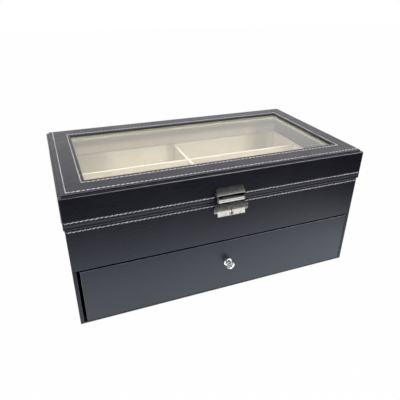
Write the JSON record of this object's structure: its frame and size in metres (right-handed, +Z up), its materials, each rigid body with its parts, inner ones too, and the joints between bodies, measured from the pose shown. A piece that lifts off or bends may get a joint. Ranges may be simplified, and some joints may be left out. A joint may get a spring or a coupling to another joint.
{
  "type": "glasses display box",
  "caption": "Leather-covered display box for glasses: hinged windowed lid over a divided tray, divided drawer below, folding clasp with key lock and a crystal pull.",
  "frame": {"origin": "centre of the case's footprint, on the surface it stands on", "axes": "+Z up, front with clasp and drawer towards -Y, +X to the right seen from the front"},
  "size_m": [0.3364, 0.2034, 0.1523],
  "materials": {
    "black_leather": "fine-grained black artificial leather over board, satin",
    "cream_velvet": "short cream velvet, matte",
    "covered_board": "board covered with plain black paper, matte",
    "cream_bead": "board bead covered with cream velvet, matte",
    "nickel": "nickel-plated sheet steel, polished",
    "dark_felt": "black felt, matte",
    "window_glass": "clear float glass, polished",
    "crystal": "clear faceted crystal, polished"
  },
  "bodies": {
    "case": {"bottom_felt": "dark_felt", "bottom_panel": "black_leather", "front_sill": "black_leather", "left_side_panel": "black_leather", "right_side_panel": "black_leather", "back_panel": "black_leather", "upper_front_panel": "black_leather", "shelf_panel": "covered_board", "tray_floor_lining": "cream_velvet", "tray_lining_front": "cream_velvet", "tray_lining_back": "cream_velvet", "tray_lining_left": "cream_velvet", "tray_lining_right": "cream_velvet", "tray_column_divider": "cream_velvet", "tray_front_row_divider": "cream_velvet", "tray_rear_row_divider": "cream_velvet", "hinge_left_case_leaf": "nickel", "hinge_right_case_leaf": "nickel", "hinge_case_screws": "nickel", "hinge_pins": "nickel", "clasp_keeper": "nickel", "clasp_keeper_rivets": "nickel"},
    "lid": {"lid_front_wall": "black_leather", "lid_back_wall": "black_leather", "lid_left_wall": "black_leather", "lid_right_wall": "black_leather", "window_panel": "black_leather", "window_glass": "window_glass", "glazing_bead_front": "cream_bead", "glazing_bead_back": "cream_bead", "glazing_bead_left": "cream_bead", "glazing_bead_right": "cream_bead", "lid_lining_front": "cream_velvet", "lid_lining_back": "cream_velvet", "lid_lining_left": "cream_velvet", "lid_lining_right": "cream_velvet", "hinge_left_lid_leaf": "nickel", "hinge_right_lid_leaf": "nickel", "hinge_lid_screws": "nickel", "clasp_bracket": "nickel", "clasp_bracket_rivets": "nickel", "clasp_pin": "nickel"},
    "clasp_flap": {"clasp_flap": "nickel"},
    "key_plug": {"key_plug": "nickel"},
    "drawer": {"drawer_front": "black_leather", "drawer_bottom": "covered_board", "drawer_left_side": "covered_board", "drawer_right_side": "covered_board", "drawer_back": "covered_board", "drawer_lining_front": "cream_velvet", "drawer_lining_back": "cream_velvet", "drawer_lining_left": "cream_velvet", "drawer_lining_right": "cream_velvet", "drawer_floor_lining": "cream_velvet", "drawer_column_divider": "cream_velvet", "drawer_front_row_divider": "cream_velvet", "drawer_rear_row_divider": "cream_velvet", "pull_mount": "nickel", "pull_crystal": "crystal", "pull_screw": "nickel"}
  },
  "joints": [
    {"name": "lid_hinge", "type": "hinge", "parent": "case", "child": "lid", "pos_m": [0, 0.09725, 0.11675], "axis": [-1, 0, 0], "range_deg": [0, 100]},
    {"name": "clasp_flap_hinge", "type": "hinge", "parent": "lid", "child": "clasp_flap", "pos_m": [-0.0015, -0.10035, 0.1226], "axis": [-1, 0, 0], "range_deg": [0, 110]},
    {"name": "key_turn", "type": "hinge", "parent": "clasp_flap", "child": "key_plug", "pos_m": [-0.0015, -0.1015, 0.1079], "axis": [0, 1, 0], "range_deg": [0, 90]},
    {"name": "drawer_slide", "type": "slide", "parent": "case", "child": "drawer", "axis": [0, -1, 0], "range_m": [0, 0.15]}
  ]
}
